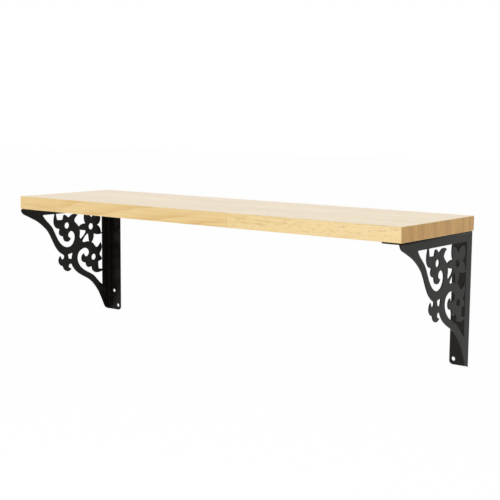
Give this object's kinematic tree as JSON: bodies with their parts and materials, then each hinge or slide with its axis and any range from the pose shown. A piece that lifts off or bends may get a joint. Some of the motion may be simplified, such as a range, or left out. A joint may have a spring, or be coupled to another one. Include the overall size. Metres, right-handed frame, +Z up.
{
  "type": "wall shelf with brackets",
  "caption": "Wall shelf: a plain edge-glued wooden board carried at its ends by black folded-steel brackets cut with a scroll-and-flower fretwork.",
  "frame": {"origin": "on the wall plane, in the middle of the four main wall screw holes (the upper and the middle hole of both brackets)", "axes": "+X along the shelf, +Y into the wall, +Z up; the board reaches out to -Y"},
  "size_m": [0.61, 0.172, 0.183],
  "materials": {
    "board_wood": "pale solid wood, clear satin lacquer",
    "bracket_steel": "satin black powder coat",
    "screw_steel": "black coating, the colour of the brackets"
  },
  "bodies": {
    "root": {"stave_1": "board_wood", "stave_2": "board_wood", "stave_3": "board_wood", "stave_4": "board_wood", "bracket_left": "bracket_steel", "bracket_right": "bracket_steel", "screw_left_back": "screw_steel", "screw_left_front": "screw_steel", "screw_right_back": "screw_steel", "screw_right_front": "screw_steel"}
  },
  "joints": []
}
